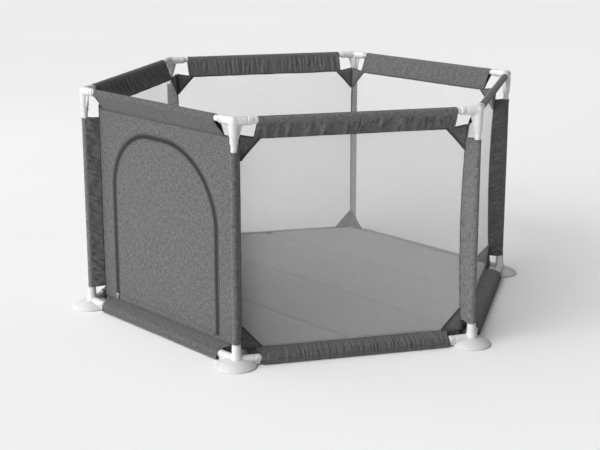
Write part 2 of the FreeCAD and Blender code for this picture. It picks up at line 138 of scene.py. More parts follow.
def drive(tree, shader, colour, shade, roughness=None, relief=None):
    """Give a shader its shaded colour and, if wanted, roughness and (height, strength, distance)."""
    scaled = add_node(tree, "ShaderNodeVectorMath", {"operation": "SCALE"}, i0=colour, Scale=shade)
    tree.links.new(scaled, shader.inputs["Base Color"])
    if roughness:
        tree.links.new(roughness, shader.inputs["Roughness"])
    if relief:
        height, strength, distance = relief
        raised = add_node(tree, "ShaderNodeBump", Height=height, Strength=strength, Distance=distance)
        tree.links.new(raised, shader.inputs["Normal"])


def math_node(tree, operation, first, second):
    return add_node(tree, "ShaderNodeMath", {"operation": operation}, i0=first, i1=second)


def average(tree, first, second):
    return math_node(tree, "MULTIPLY", math_node(tree, "ADD", first, second), 0.5)


def spread(tree, value, low, high, start=0.0, end=1.0):
    """Map start..end to low..high, and hold it there beyond."""
    return add_node(tree, "ShaderNodeMapRange", Value=value, i1=start, i2=end, i3=low, i4=high)


def noise_node(tree, vector, scale, detail=2.0, rough=0.5):
    return add_node(tree, "ShaderNodeTexNoise", Vector=vector, Scale=scale, Detail=detail, Roughness=rough)


def stretched_noise(tree, vector, scales, detail, rough=0.5):
    mapped = add_node(tree, "ShaderNodeMapping", Vector=vector, Scale=scales)
    return noise_node(tree, mapped, 1.0, detail, rough)


def cloth_material(name, level, contrast=0.34, thread=1500.0, slub=110.0, bump=0.5, mottle=0.42):
    """
    Heathered linen-look cloth: yarns both ways, each with lighter and darker lengths, and a
    broad unevenness of the dye. Coordinates are metres on the cloth.
    """
    material, tree, shader = blank_material(
        name, Roughness=0.92, Sheen_Weight=0.15, Sheen_Roughness=0.6, Specular_IOR_Level=0.18
    )
    where = add_node(tree, "ShaderNodeUVMap", {"uv_map": "Cloth"})
    warp = stretched_noise(tree, where, (thread, slub, 1.0), 1.0)
    weft = stretched_noise(tree, where, (slub * 0.8, thread * 0.9, 1.0), 1.0)
    yarns = average(tree, warp, weft)
    upright = stretched_noise(tree, where, (260.0, 75.0, 1.0), 2.0, 0.6)
    level_way = stretched_noise(tree, where, (75.0, 260.0, 1.0), 2.0, 0.6)
    patches = average(tree, upright, level_way)
    yarn_shade = spread(tree, yarns, 1.0 - contrast * 2.2, 1.0 + contrast * 2.2)
    patch_shade = spread(tree, patches, 1.0 - mottle, 1.0 + mottle, 0.36, 0.64)
    broad_shade = spread(tree, noise_node(tree, where, 9.0), 0.94, 1.06)
    shade = math_node(tree, "MULTIPLY", yarn_shade, patch_shade)
    shade = math_node(tree, "MULTIPLY", shade, broad_shade)
    relief = (math_node(tree, "ADD", yarns, patches), bump, 0.0006)
    drive(tree, shader, (level,) * 3, shade, spread(tree, yarns, 0.84, 1.0), relief)
    return material


def plastic_material(name, level, roughness):
    """Moulded plastic: a fine grain, faint cloudiness and slightly uneven gloss."""
    material, tree, shader = blank_material(name, Roughness=roughness, Specular_IOR_Level=0.45)
    where = add_node(tree, "ShaderNodeTexCoord", output="Object")
    cloud = noise_node(tree, where, 30.0, 3.0)
    grain = noise_node(tree, where, 1600.0)
    gloss = spread(tree, cloud, roughness - 0.07, roughness + 0.09)
    drive(tree, shader, (level,) * 3, spread(tree, cloud, 0.96, 1.03), gloss, (grain, 0.06, 0.0003))
    return material


def net_material(name, level, pitch=0.0017, thread=0.052):
    """Fine knitted net: pale threads with round holes, mostly seen through."""
    material, tree, shader = blank_material(name, Roughness=0.8, Sheen_Weight=0.1, Specular_IOR_Level=0.2)
    where = add_node(tree, "ShaderNodeUVMap", {"uv_map": "Cloth"})
    cells = add_node(
        tree,
        "ShaderNodeTexVoronoi",
        {"feature": "DISTANCE_TO_EDGE", "voronoi_dimensions": "2D"},
        output="Distance",
        Vector=where,
        Scale=1.0 / pitch,
        Randomness=0.25,
    )
    tree.links.new(math_node(tree, "LESS_THAN", cells, thread), shader.inputs["Alpha"])
    shade = spread(tree, noise_node(tree, where, 40.0, 3.0), 0.9, 1.08)
    drive(tree, shader, (level,) * 3, shade, relief=(cells, 0.3, 0.0004))
    return material


def metal_material(name):
    """Nickel-plated die casting, lightly scratched."""
    material, tree, shader = blank_material(name, Metallic=1.0, Roughness=0.3)
    where = add_node(tree, "ShaderNodeTexCoord", output="Object")
    scratch = stretched_noise(tree, where, (900.0, 900.0, 90.0), 3.0)
    shade = spread(tree, scratch, 0.8, 1.1)
    gloss = spread(tree, scratch, 0.2, 0.45)
    drive(tree, shader, (0.8, 0.8, 0.78), shade, gloss, (scratch, 0.1, 0.0002))
    return material


CLOTH_LEVEL = 0.089
# The fins' level is the grey cloth lightened: painted light on the two fins that use it, not a paler cloth.
LIT_FIN_LEVEL = 0.125
MAT_LEVEL = 0.21
NET_LEVEL = 0.5

grey_cloth = cloth_material("grey_cloth", CLOTH_LEVEL)
lit_fin_cloth = cloth_material("lit_fin_cloth", LIT_FIN_LEVEL)
# A darker copy of the grey cloth for piping, bindings and trims; it also paints the shade lines along seams
# and folds and the dark hollows under the corners.
seam_and_shade_cloth = cloth_material("seam_and_shade_cloth", CLOTH_LEVEL * 0.55, contrast=0.2, mottle=0.15)
# Darker and lighter copies of the grey cloth paint shade and light: the darker one on the base bands and
# the front band, the lighter one on the right front band.
shaded_base_cloth = cloth_material("shaded_base_cloth", CLOTH_LEVEL * 0.86)
lit_pale_cloth = cloth_material("lit_pale_cloth", CLOTH_LEVEL * 1.16)
mat_cloth = cloth_material("mat_cloth", MAT_LEVEL, contrast=0.2, thread=1800.0, slub=240.0, mottle=0.08)
thread_cloth = cloth_material("sewing_thread", CLOTH_LEVEL * 0.8, contrast=0.1, bump=0.2, mottle=0.05)
tape_cloth = cloth_material("zip_tape", 0.018, contrast=0.15, thread=2200.0, slub=900.0, mottle=0.1)
zip_plastic = plastic_material("zip_coil", 0.022, 0.45)
white_plastic = plastic_material("white_plastic", 0.57, 0.38)
foot_plastic = plastic_material("foot_plastic", 0.54, 0.5)
white_tube = plastic_material("white_tube", 0.6, 0.3)
net_cloth = net_material("net", NET_LEVEL)
zip_metal = metal_material("zip_metal")
# Bands that take the copies with painted shade (front) and painted light (right front).
SHADED_AND_LIT_BAND_CLOTHS = {"front": shaded_base_cloth, "right_front": lit_pale_cloth}
# Fins that take the lightened copy of the grey cloth, as painted light.
LIT_FIN_CLOTHS = {"front_left": lit_fin_cloth, "right": lit_fin_cloth}


# ---------------------------------------------------------------- mesh helpers

def place(angle, out, along, up):
    """Points from a side or corner: out from the pen's axis, along to the left of that, and up."""
    out, along, up = np.broadcast_arrays(out, along, up)
    turn = math.radians(angle)
    x = out * math.cos(turn) - along * math.sin(turn)
    y = out * math.sin(turn) + along * math.cos(turn)
    return np.stack([x, y, np.asarray(up, float)], axis=-1)


DOOR_FACING = place(SIDES["front"], 1.0, 0.0, 0.0)


def link(name, mesh, material):
    mesh.materials.append(material)
    mesh.shade_smooth()
    made = bpy.data.objects.new(name, mesh)
    bpy.context.scene.collection.objects.link(made)
    return made


def travelled(points, axis=0):
    """Distance along a path, or along one way of a grid of points."""
    steps = np.linalg.norm(np.diff(points, axis=axis), axis=-1)
    start = np.zeros_like(np.take(steps, [0], axis=axis))
    return np.concatenate([start, np.cumsum(steps, axis=axis)], axis=axis)


def unit(vectors):
    return vectors / np.linalg.norm(vectors, axis=-1)[..., None]


def surface(name, grid, material, closed=False, uv=None):
    """A mesh of quads through rows and columns of points, with its cloth coordinates in metres."""
    rows, columns = grid.shape[:2]
    ring = np.concatenate([grid, grid[:, :1]], axis=1) if closed else grid
    if uv is None:
        uv = np.stack([travelled(ring, 1), travelled(ring, 0)], axis=-1)
    faces = []
    corners = []
    for row, column in product(range(rows - 1), range(ring.shape[1] - 1)):
        quad = ((row, column), (row, column + 1), (row + 1, column + 1), (row + 1, column))
        faces.append([i * columns + j % columns for i, j in quad])
        corners.extend(uv[i, j] for i, j in quad)
    mesh = bpy.data.meshes.new(name)
    mesh.from_pydata(grid.reshape(-1, 3).tolist(), [], faces)
    layer = mesh.uv_layers.new(name="Cloth")
    layer.data.foreach_set("uv", np.array(corners, np.float32).ravel())
    return link(name, mesh, material)


def lofted(name, solids, material):
    """One mesh of small solids, each given as rings of points and closed at both ends."""
    solids = np.array(solids, float)
    count, rings, corners = solids.shape[:3]
    faces = []
    for first in range(0, count * rings * corners, rings * corners):
        for ring, corner in product(range(rings - 1), range(corners)):
            a = first + ring * corners + corner
            b = first + ring * corners + (corner + 1) % corners
            faces.append((a, b, b + corners, a + corners))
        faces.append([first + -corner % corners for corner in range(corners)])
        faces.append([first + (rings - 1) * corners + corner for corner in range(corners)])
    mesh = bpy.data.meshes.new(name)
    mesh.from_pydata(solids.reshape(-1, 3).tolist(), [], faces)
    return link(name, mesh, material)


def settle(obj):
    """Replace an object's mesh by what its modifiers make of it."""
    graph = bpy.context.evaluated_depsgraph_get()
    made = bpy.data.meshes.new_from_object(obj.evaluated_get(graph), depsgraph=graph)
    obj.modifiers.clear()
    obj.data = made
    return obj


def rework(obj, change=None):
    """Change an object's mesh, and turn its faces outwards."""
    mesh = bmesh.new()
    mesh.from_mesh(obj.data)
    if change:
        change(mesh)
    bmesh.ops.recalc_face_normals(mesh, faces=mesh.faces)
    mesh.to_mesh(obj.data)
    mesh.free()
    return obj


def close_ends(mesh):
    mesh.edges.ensure_lookup_table()
    bmesh.ops.holes_fill(mesh, edges=[edge for edge in mesh.edges if edge.is_boundary], sides=0)


def merge_rims(mesh):
    bmesh.ops.remove_doubles(mesh, verts=mesh.verts, dist=0.00005)


def thicken(obj, thickness=PLY):
    layer = obj.modifiers.new("Ply", "SOLIDIFY")
    layer.thickness = thickness
    layer.offset = 0.0
    layer.use_even_offset = False
    return settle(obj)


def sweep(points, normals, section):
    """A grid of points: a closed section carried along a path. Section pairs are (side, normal)."""
    points = np.asarray(points, float)
    tangents = unit(np.gradient(points, axis=0))
    normals = np.broadcast_to(np.asarray(normals, float), points.shape)
    side = unit(np.cross(tangents, normals))
    square = np.cross(side, tangents)
    return (
        points[:, None]
        + side[:, None] * section[None, :, 0, None]
        + square[:, None] * section[None, :, 1, None]
    )


def oval(width, thickness, count):
    turns = np.arange(count) * 2 * math.pi / count
    flat = np.sign(np.cos(turns)) * np.abs(np.cos(turns)) ** 0.6
    return np.stack([flat * width / 2, np.sin(turns) * thickness / 2], axis=1)


def ribbon(name, points, normals, width, thickness, material, count=10):
    """A flat strip, such as a binding, a tape or a piped seam, along a path."""
    grid = sweep(points, normals, oval(width, thickness, count))
    return rework(surface(name, grid, material, closed=True), close_ends)


def join(name, pieces):
    """Make one object of several."""
    target = pieces[0]
    with bpy.context.temp_override(active_object=target, selected_editable_objects=pieces):
        bpy.ops.object.join()
    target.name = name
    target.data.name = name
    return target


def ride(obj, body, slot, *nodes):
    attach(obj, body)
    if nodes:
        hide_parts(*nodes)
    return obj


def trim(name, points, normals, width, thickness):
    """A ribbon of the darker cloth on the cover, which also paints a line of shade."""
    return ride(ribbon(name, points, normals, width, thickness, seam_and_shade_cloth), FRAME, "grey_cloth")


def make_sheet(
    name, points, cloth, nodes=(), body=FRAME,
    slot="grey_cloth", thickness=PLY, uv=None, closed=False,
):
    piece = thicken(surface(name, points, cloth, closed, uv), thickness)
    ride(piece, body, slot, *nodes)


@np.vectorize
def ripple(first, second, seed):
    """Smooth noise, about -1 to 1."""
    return noise.noise(Vector((first, second, seed))) * 1.6


def resample(path, count, values=None):
    """A polyline's points spaced evenly, or the values that go with such points."""
    path = np.asarray(path, float)
    run = travelled(path)
    where = np.linspace(0.0, run[-1], count)
    columns = (path if values is None else values).T
    return np.stack([np.interp(where, run, column) for column in columns], axis=1)


def rounded(path, count):
    """A smooth curve that follows a rough one."""
    path = np.asarray(path, float)
    for _ in range(2):
        ahead = path[:-1] * 0.75 + path[1:] * 0.25
        behind = path[:-1] * 0.25 + path[1:] * 0.75
        cut = np.stack([ahead, behind], axis=1).reshape(-1, path.shape[1])
        path = np.concatenate([path[:1], cut, path[-1:]])
    return resample(path, count)


stitch_rows = {FRAME: [], FLAP: []}
# A stitch is four rings of four points: (along it, size) by (across, up) in stitch widths.
STITCH_WIDTH = 0.00045
STITCH_RINGS = ((-0.5, 0.35), (-0.28, 1.0), (0.28, 1.0), (0.5, 0.35))
STITCH_SECTION = ((1, -0.4), (0.6, 0.8), (-0.6, 0.8), (-1, -0.4))


def stitch(body, path, normal, every=0.0046, length=0.0031):
    """Note a row of stitches along a path; normal points off the cloth."""
    path = np.asarray(path, float)
    count = max(int(travelled(path)[-1] / every), 2)
    spots = resample(path, count + 1)
    facing = resample(path, count + 1, np.broadcast_to(np.asarray(normal, float), path.shape))
    for index in range(count):
        step = spots[index + 1] - spots[index]
        centre = (spots[index] + spots[index + 1]) / 2
        stitch_rows[body].append((centre, unit(step), facing[index], length))


def sew(body, name):
    """Make all the stitches noted for a body, as one piece."""
    solids = []
    for centre, forward, up, length in stitch_rows[body]:
        side = unit(np.cross(forward, up))
        rings = []
        for along, size in STITCH_RINGS:
            out, rise = side * STITCH_WIDTH * size, up * STITCH_WIDTH * size
            spot = centre + forward * length * along
            rings.append([spot + out * across + rise * high for across, high in STITCH_SECTION])
        solids.append(rings)
    piece = lofted(name, solids, thread_cloth)
    layer = piece.data.uv_layers.new(name="Cloth")
    order = np.array([loop.vertex_index for loop in piece.data.loops])
    spots = np.array(solids).reshape(-1, 3)[order]
    layer.data.foreach_set("uv", spots[:, [0, 2]].astype(np.float32).ravel())
    ride(piece, body, "grey_cloth")


# ---------------------------------------------------------------- sleeves of cloth

def loop_section(centre, seam, gap=0.0008, straight=14, arc=18):
    """
    Section of a sleeve sewn shut at its seam: out to a tube, round it and back. Returns the
    points, how free the cloth is there, 0 on the tube and at the seam, and its room to fold in.
    """
    centre = np.asarray(centre, float)
    seam = np.asarray(seam, float)
    reach = seam - centre
    distance = np.linalg.norm(reach)
    heading = math.atan2(reach[1], reach[0])
    leaving = math.acos(SLEEVE_RADIUS / distance)
    turns = np.linspace(heading + leaving, heading + 2 * math.pi - leaving, arc)
    bend = centre + SLEEVE_RADIUS * np.stack([np.cos(turns), np.sin(turns)], axis=1)
    square = np.array([-reach[1], reach[0]]) / distance
    leave = np.linspace(seam + square * gap, bend[0], straight, endpoint=False)
    back = np.linspace(bend[-1], seam - square * gap, straight + 1)[1:]
    free = np.sin(np.linspace(0.18, math.pi * 0.98, straight)) ** 0.7
    ease = np.concatenate([free, np.zeros(arc), free[::-1]])
    section = np.concatenate([leave, bend, back])
    room = np.abs((section - seam) @ square) * 0.8
    return section, ease, room


def outward(section):
    """Unit normals of a section's line."""
    steps = np.gradient(section, axis=0)
    return unit(np.stack([steps[:, 1], -steps[:, 0]], axis=1))


def smoothstep(value):
    value = np.clip(value, 0.0, 1.0)
    return value * value * (3 - 2 * value)


# A hem stands proud at each end of a sleeve, and the rows of points are closer together there.
HEM_WIDTH = 0.011
HEM_LIFT = 0.0004
HEM_STATIONS = (0.0006, 0.0094, 0.0102, 0.011, 0.0118, 0.0126)


def sleeve_grid(section, ease, stations, fold, ends=lambda share: 0.0, room=0.01):
    """
    Rows of (first, second, station) points. fold(station, run) is how far the free cloth stands
    out, and ends(share) moves the two ends, so that they needn't be square.
    """
    normals = outward(section)
    run = travelled(section)
    low, high = stations[0], stations[-1]
    rows = []
    for station in stations:
        edge = min(station - low, high - station)
        lift = HEM_LIFT * (1.0 - smoothstep((edge - HEM_WIDTH) / 0.0012 + 0.5))
        offset = np.maximum(fold(station, run) * ease, -room) + lift
        moved = section + normals * offset[:, None]
        level = np.full(len(section), station) + ends((station - low) / (high - low))
        rows.append(np.concatenate([moved, level[:, None]], axis=1))
    return np.array(rows), float(run[-1])


def stations_for(low, high, step=0.0027):
    even = np.linspace(low, high, int((high - low) / step) + 1)
    extra = [low + distance for distance in HEM_STATIONS] + [high - distance for distance in HEM_STATIONS]
    return np.array(sorted(set(np.round(np.concatenate([even, extra]), 5))))


def stitch_lengthwise(points, columns, facings):
    """Rows of stitches along a sleeve."""
    for column in columns:
        stitch(FRAME, points[:, column] + facings[column] * PLY * 0.6, facings[column])


def stitch_hems(points, facings):
    """Rows of stitches round a sleeve, at its two ends."""
    for row in (4, len(points) - 5):
        stitch(FRAME, points[row] + facings * PLY * 0.75, facings)


# How strongly each side's cloth is gathered, and the pitch of its folds, in metres.
TOP_GATHERS = {
    "right_back": (0.0024, 0.017), "back": (0.0014, 0.014), "left_back": (0.0028, 0.011),
    "left_front": (0.0040, 0.010), "front": (0.0007, 0.060), "right_front": (0.0085, 0.014),
}
# How far a band's two ends lean along the side, from the rail down to the seam.
END_LEAN = {"front": (0.015, -0.007), "right_front": (0.004, 0.006)}
END_INSET = 0.0022


def make_top_sleeves():
    """Bands of cloth over the top rails, sewn shut above the walls and gathered by their seams."""
    section, ease, room = loop_section((RAIL_OUT, RAIL_UP), (PANEL_OUT + 0.0016, PANEL_HIGH + 0.0004))
    normals = outward(section)
    depth = np.clip((RAIL_UP - section[:, 1]) / (RAIL_UP - PANEL_HIGH), 0.0, 1.0)
    crest = int(np.argmax(section[:, 1]))
    for seed, (side, angle) in enumerate(SIDES.items(), start=1):
        node = f"top_sleeve_{side}"
        start, end = -SLEEVE_HALF, SLEEVE_HALF
        if side == "front":
            # The front side's own direction along it is +X, so its band can be read from its box.
            low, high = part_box(node)
            start, end = low.x + END_INSET, high.x - END_INSET
        amount, pitch = TOP_GATHERS[side]
        lean_start, lean_end = END_LEAN.get(side, (0.0, 0.0))

        def fold(station, run):
            across = run / 0.10
            coarse = ripple(station / pitch, across, seed * 7.3)
            fine = 0.55 - np.abs(ripple(station / pitch * 1.7, across * 1.5, seed * 3.1 + 40)) * 2.2
            patch = 0.85 + 0.6 * ripple(station / 0.13, 0.0, seed + 80)
            return amount * (coarse * 1.2 + fine * 0.9) * max(patch, 0.35)

        def ends(share):
            return depth * (lean_end * share ** 6 - lean_start * (1 - share) ** 6)

        grid, girth = sleeve_grid(section, ease, stations_for(start, end), fold, ends, room)
        points = place(angle, grid[..., 0], grid[..., 2], grid[..., 1])
        # The front band gets the darker copy and the right front band the lighter one: painted shade and
        # light.
        cloth = SHADED_AND_LIT_BAND_CLOTHS.get(side, grey_cloth)
        make_sheet(f"band_{side}", points, cloth, nodes=[node])
        edge = points[2:-2, crest] + np.array([0.0, 0.0, 0.0006])
        trim(f"band_{side}_edge", edge, place(angle, 0.3, 0.0, 0.95), 0.0030, 0.0012)
        facings = place(angle, normals[:, 0], 0.0, normals[:, 1])
        stitch_lengthwise(points, (2, len(section) - 3), facings)
        stitch_hems(points, facings)


# Section of a base band, in mm from the rail's axis as (out, up): from the wall's foot out over
# the rail, down to a sewn line, round the folded lower edge and back underneath.
BASE_SECTION = (
    (-32.2, 14.6), (-22.0, 13.2), (-12.0, 11.6), (-3.0, 10.3), (4.0, 8.7), (9.4, 4.4), (11.4, -1.5),
    (12.0, -5.8), (12.6, -7.6), (14.2, -9.4), (14.4, -11.6), (13.0, -13.8), (10.0, -14.2), (5.0, -12.8),
    (-3.0, -10.6), (-9.0, -6.0), (-18.0, 2.6), (-27.0, 10.6), (-32.2, 13.2),
)
SEWN_DROP = 0.0052          # of the sewn line below the rail's axis
BASE_GATHERS = {
    "right_back": (0.0009, 0.03), "back": (0.0012, 0.014), "left_back": (0.0012, 0.014),
    "left_front": (0.0012, 0.014), "front": (0.0007, 0.045), "right_front": (0.0044, 0.0048),
}
CROSS_FOLDS = {"right_front": (0.215,), "left_front": (-0.19,), "right_back": (-0.09,)}
BASE_CLEARANCE = 0.0011     # how far the slack cloth may sink before it meets the rail
BASE_STEP = {"right_front": 0.0018}


def make_bottom_sleeves():
    """Slack bands round the bottom rails, hanging in a stitched fold at their lower edge."""
    section = rounded(np.array(BASE_SECTION) / 1000.0 + np.array([RAIL_OUT, BASE_UP]), 60)
    normals = -outward(section)
    share = np.linspace(0.0, 1.0, len(section))
    ease = np.sin(math.pi * share) ** 0.5 * np.where(share < 0.42, 1.0, 0.3)
    ease = np.convolve(np.pad(ease, 3, mode="edge"), np.full(7, 1 / 7), mode="valid")
    # The wall's end of the band reaches further along than its lower fold does.
    slant = 0.009 * (1 - smoothstep((section[:, 0] - PANEL_OUT) / 0.03)) + 0.004
    upper = section[: len(section) // 2, 1]
    sewn = int(np.argmin(np.abs(upper - (BASE_UP - SEWN_DROP))))
    for seed, (side, angle) in enumerate(SIDES.items(), start=1):
        amount, pitch = BASE_GATHERS[side]

        def fold(station, run):
            pleats = ripple(station / pitch, run / 0.08, seed * 5.7 + 11)
            fine = ripple(station / pitch * 2.2, run / 0.04, seed * 2.9 + 60)
            patch = 0.75 + 0.5 * ripple(station / 0.16, 0.0, seed + 30)
            moved = -amount * (pleats + 0.4 * fine + 0.15) * max(patch, 0.2)
            for spot in CROSS_FOLDS.get(side, ()):
                gap = (station - spot - run * 0.25) / 0.0045
                moved = moved + 0.0060 * gap * np.exp(-gap * gap)
            return np.minimum(moved, BASE_CLEARANCE)

        def ends(share):
            return slant * np.sign(share - 0.5) * abs(2 * share - 1) ** 8

        stations = stations_for(-BASE_SLEEVE_HALF, BASE_SLEEVE_HALF, BASE_STEP.get(side, 0.0027))
        grid, girth = sleeve_grid(section, ease, stations, fold, ends)
        points = place(angle, grid[..., 0], grid[..., 2], grid[..., 1])
        name = f"base_band_{side}"
        # The base bands use the darker copy of the grey cloth: painted shade.
        make_sheet(name, points, shaded_base_cloth, nodes=["bottom_sleeves"])
        facings = place(angle, normals[:, 0], 0.0, normals[:, 1])
        hem = points[2:-2, sewn] + facings[sewn] * 0.0004
        trim(f"{name}_hem", hem, facings[sewn], 0.0022, 0.0010)
        stitch_lengthwise(points, (3, sewn), facings)


# How strongly the cloth round each post is rucked.
POST_GATHERS = {
    "right": 0.0050, "back_right": 0.0055, "back_left": 0.0035,
    "left": 0.0035, "front_left": 0.0080, "front_right": 0.0014,
}
FIN_FOLD_LIMIT = 0.0046     # the folds' height off the cloth's plane flattens out towards this


def drawn_in(up):
    """How far the taut nets are drawn towards the pen's axis, most at mid height."""
    height = np.clip((up - PANEL_LOW) / (PANEL_HIGH - PANEL_LOW), 0.0, 1.0)
    return NET_PULL * np.sin(math.pi * height) ** 0.8


def make_post_sleeves():
    """Upright fins of cloth from the corner seams out round the posts."""
    section, ease, room = loop_section((CORNER_RADIUS, 0.0), (SEAM_RADIUS + 0.001, 0.0))
    normals = outward(section)
    for seed, (corner, angle) in enumerate(CORNERS.items(), start=1):

        def fold(station, run):
            low_end = math.exp(-(station - FIN_LOW) / 0.09)
            slope = run * (0.4 if seed % 2 else -0.3)
            wave = ripple((station + slope) / 0.0075, run / 0.05, seed * 4.4)
            broad = ripple((station - slope) / 0.021, run / 0.06, seed * 9.1)
            height = POST_GATHERS[corner] * (wave * (0.7 + 0.6 * low_end) + broad * 0.5)
            return FIN_FOLD_LIMIT * np.tanh(height / FIN_FOLD_LIMIT)

        grid, girth = sleeve_grid(section, ease, stations_for(FIN_LOW, FIN_HIGH), fold, room=room)
        if corner not in DOOR_CORNERS:
            nearness = np.clip((CORNER_RADIUS - grid[..., 0]) / (CORNER_RADIUS - SEAM_RADIUS), 0.0, 1.0)
            grid[..., 0] -= (drawn_in(grid[..., 2]) - CORNER_EASE) * nearness
        points = place(angle, grid[..., 0], grid[..., 1], grid[..., 2])
        # Two fins take the lightened copy of the grey cloth: painted light.
        cloth = LIT_FIN_CLOTHS.get(corner, grey_cloth)
        make_sheet(f"fin_{corner}", points, cloth, nodes=["post_sleeves"])
        facings = place(angle, normals[:, 0], normals[:, 1], 0.0)
        stitch_lengthwise(points, (3, len(section) - 4), facings)
        stitch_hems(points, facings)


# ---------------------------------------------------------------- nets, gussets and seams

def net_half(up):
    """Half width of a net panel, whose corners are cut off where the gussets are."""
    nearness = 1.0 - np.minimum(up - PANEL_LOW, PANEL_HIGH - up) / GUSSET_UP
    return PANEL_HALF - GUSSET_ALONG * np.clip(nearness, 0.0, 1.0)


def panel_relief(angle, along, up, amount):
    """How far a wall of cloth or net stands out of its plane; nothing at its edges."""
    across = np.maximum(np.cos(math.pi * along / (2 * PANEL_HALF)), 0.0)
    rise = np.sin(math.pi * np.clip((up - PANEL_LOW) / (PANEL_HIGH - PANEL_LOW), 0.0, 1.0))
    wave = ripple(along / 0.21, up / 0.34, angle * 0.37)
    fine = ripple(along / 0.07, up / 0.16, angle * 0.11 + 5)
    return amount * across ** 0.5 * rise ** 0.5 * (wave + 0.3 * fine)


def corner_pull(side, share):
    """Share of the corner seams' pull at a spot of a wall: none at the door's own corners."""
    door_angles = [CORNERS[corner] for corner in DOOR_CORNERS]
    start, end = (float((SIDES[side] + turn) % 360 not in door_angles) for turn in (-30, 30))
    return start + (end - start) * (share + 1.0) / 2.0


def wall_points(side, out, along, up):
    """Points of a wall, drawn in with its corner seams."""
    share = along / PANEL_HALF
    pull = (drawn_in(up) - CORNER_EASE * share ** 6) * corner_pull(side, share)
    return place(SIDES[side], out - pull * COS30, along - pull * share / 2.0, up)


def corner_rise(along):
    """The walls' upper edges climb a little over the gussets, up to each corner."""
    share = np.clip((np.abs(along) - PANEL_HALF + GUSSET_ALONG) / GUSSET_ALONG, 0.0, 1.0)
    return GUSSET_RISE * share ** 1.5


def make_nets():
    levels = np.linspace(PANEL_LOW, PANEL_HIGH, 66)[:, None]
    for side in NET_SIDES:
        along = np.linspace(-1.0, 1.0, 56) * net_half(levels)
        up = np.broadcast_to(levels, along.shape)
        out = PANEL_OUT + panel_relief(SIDES[side], along, up, 0.0016)
        make_sheet(
            f"net_{side}",
            wall_points(side, out, along, up),
            net_cloth,
            nodes=[f"mesh_panel_{side}"],
            slot="net",
            thickness=NET_THREAD,
            uv=np.stack([along, up], axis=-1),
        )


SMALL_GRID = np.meshgrid(np.linspace(0.0, 1.0, 13), np.linspace(0.0, 1.0, 13), indexing="ij")


def make_gussets():
    """Bound triangles of cloth in the corners of the net walls."""
    rise, reach = SMALL_GRID
    rise = rise * 0.985
    reach = reach * (1.0 - rise)
    bulge = rise * reach * (1.0 - rise - reach) * 27.0
    levels = ((PANEL_LOW, 1, "low"), (PANEL_HIGH, -1, "high"))
    bindings = []
    for side, (hand, hand_name), (level, way, tag) in product(NET_SIDES, HANDS, levels):
        sway = ripple(rise * 2.0, reach * 2.0, SIDES[side] + hand * 3 + way)
        out = PANEL_OUT + bulge * (0.0022 * sway - 0.0018)
        along = hand * (PANEL_HALF - reach * GUSSET_ALONG)
        climb = corner_rise(along) * (1.0 - rise) if tag == "high" else 0.0
        up = level + way * rise * GUSSET_UP + climb
        points = wall_points(side, out, along, up)
        make_sheet(
            f"gusset_{side}_{hand_name}_{tag}",
            points,
            grey_cloth,
            nodes=["corner_gussets"],
            uv=np.stack([along, up], axis=-1),
        )
        facing = place(SIDES[side], 1.0, 0.0, 0.0)
        bindings.append(ribbon("binding", points[:, -1], facing, 0.0065, 0.0024, seam_and_shade_cloth))
        inner = points[:, -1] + (points[:, 0] - points[:, -1]) * 0.02
        for face in (facing, -facing):
            stitch(FRAME, inner + face * 0.0014, face)
    ride(join("gusset_bindings", bindings), FRAME, "grey_cloth")


def make_seams():
    """Turned and piped seams: upright at each corner, level along the walls' two edges."""
    # The darker cloth of these seams also paints the shade in their creases.
    pieces = []
    for corner, angle in CORNERS.items():
        heights = np.linspace(PANEL_LOW, PANEL_HIGH + GUSSET_RISE * 0.6, 60)
        wander = ripple(heights / 0.05, 0.0, angle + 0.5) * 0.0003
        pull = 0.0 if corner in DOOR_CORNERS else drawn_in(heights) - CORNER_EASE
        path = place(angle, SEAM_RADIUS - 0.0006 - pull + wander, wander, heights)
        pieces.append(ribbon("seam", path, place(angle, 0.0, 1.0, 0.0), 0.0046, 0.0034, seam_and_shade_cloth))
    for side, angle in SIDES.items():
        facing = place(angle, 1.0, 0.0, 0.0)
        run = np.linspace(-PANEL_HALF, PANEL_HALF, 90)
        sway = ripple(run / 0.04, 0.0, angle + 9.5) * 0.0003
        climb = 0.0 if side == "front" else corner_rise(run)
        top = wall_points(side, PANEL_OUT + 0.0012 + sway, run, PANEL_HIGH + sway + climb)
        pieces.append(ribbon("seam", top, facing, 0.0050, 0.0036, seam_and_shade_cloth))
        base = wall_points(side, PANEL_OUT + 0.0010 + sway, run, PANEL_LOW - 0.0016 + sway)
        pieces.append(ribbon("seam", base, facing, 0.0030, 0.0026, seam_and_shade_cloth))
    ride(join("piped_seams", pieces), FRAME, "grey_cloth")


FLAP_REACH = 0.042          # of a corner flap past the end of the base band


def make_shaded_corner_flaps():
    """The cover's loose edges at each corner, from the wall's foot down towards the base band's end."""
    drop, away = SMALL_GRID
    for side, (hand, hand_name) in product(SIDES, HANDS):
        along = hand * (BASE_SLEEVE_HALF - 0.004 + away * FLAP_REACH - 0.006 * drop * away)
        out = PANEL_OUT + 0.0010 + 0.021 * drop * (1.0 - away) ** 1.4
        sag = 0.0045 * np.sin(math.pi * drop) * (1.0 - away) + 0.009 * drop * away
        fold = 0.0016 * ripple(away * 3.0, drop * 2.0, SIDES[side] + hand * 2.0)
        up = PANEL_LOW - 0.0030 - sag - 0.004 * drop + fold * drop
        name = f"corner_flap_{side}_{hand_name}"
        points = wall_points(side, out, along, up)
        # The flaps are in the darker cloth: partly a loose edge of the cover, partly a dark sheet that
        # paints the shade of the hollow under each corner.
        make_sheet(name, points, seam_and_shade_cloth)


# ---------------------------------------------------------------- door and zip

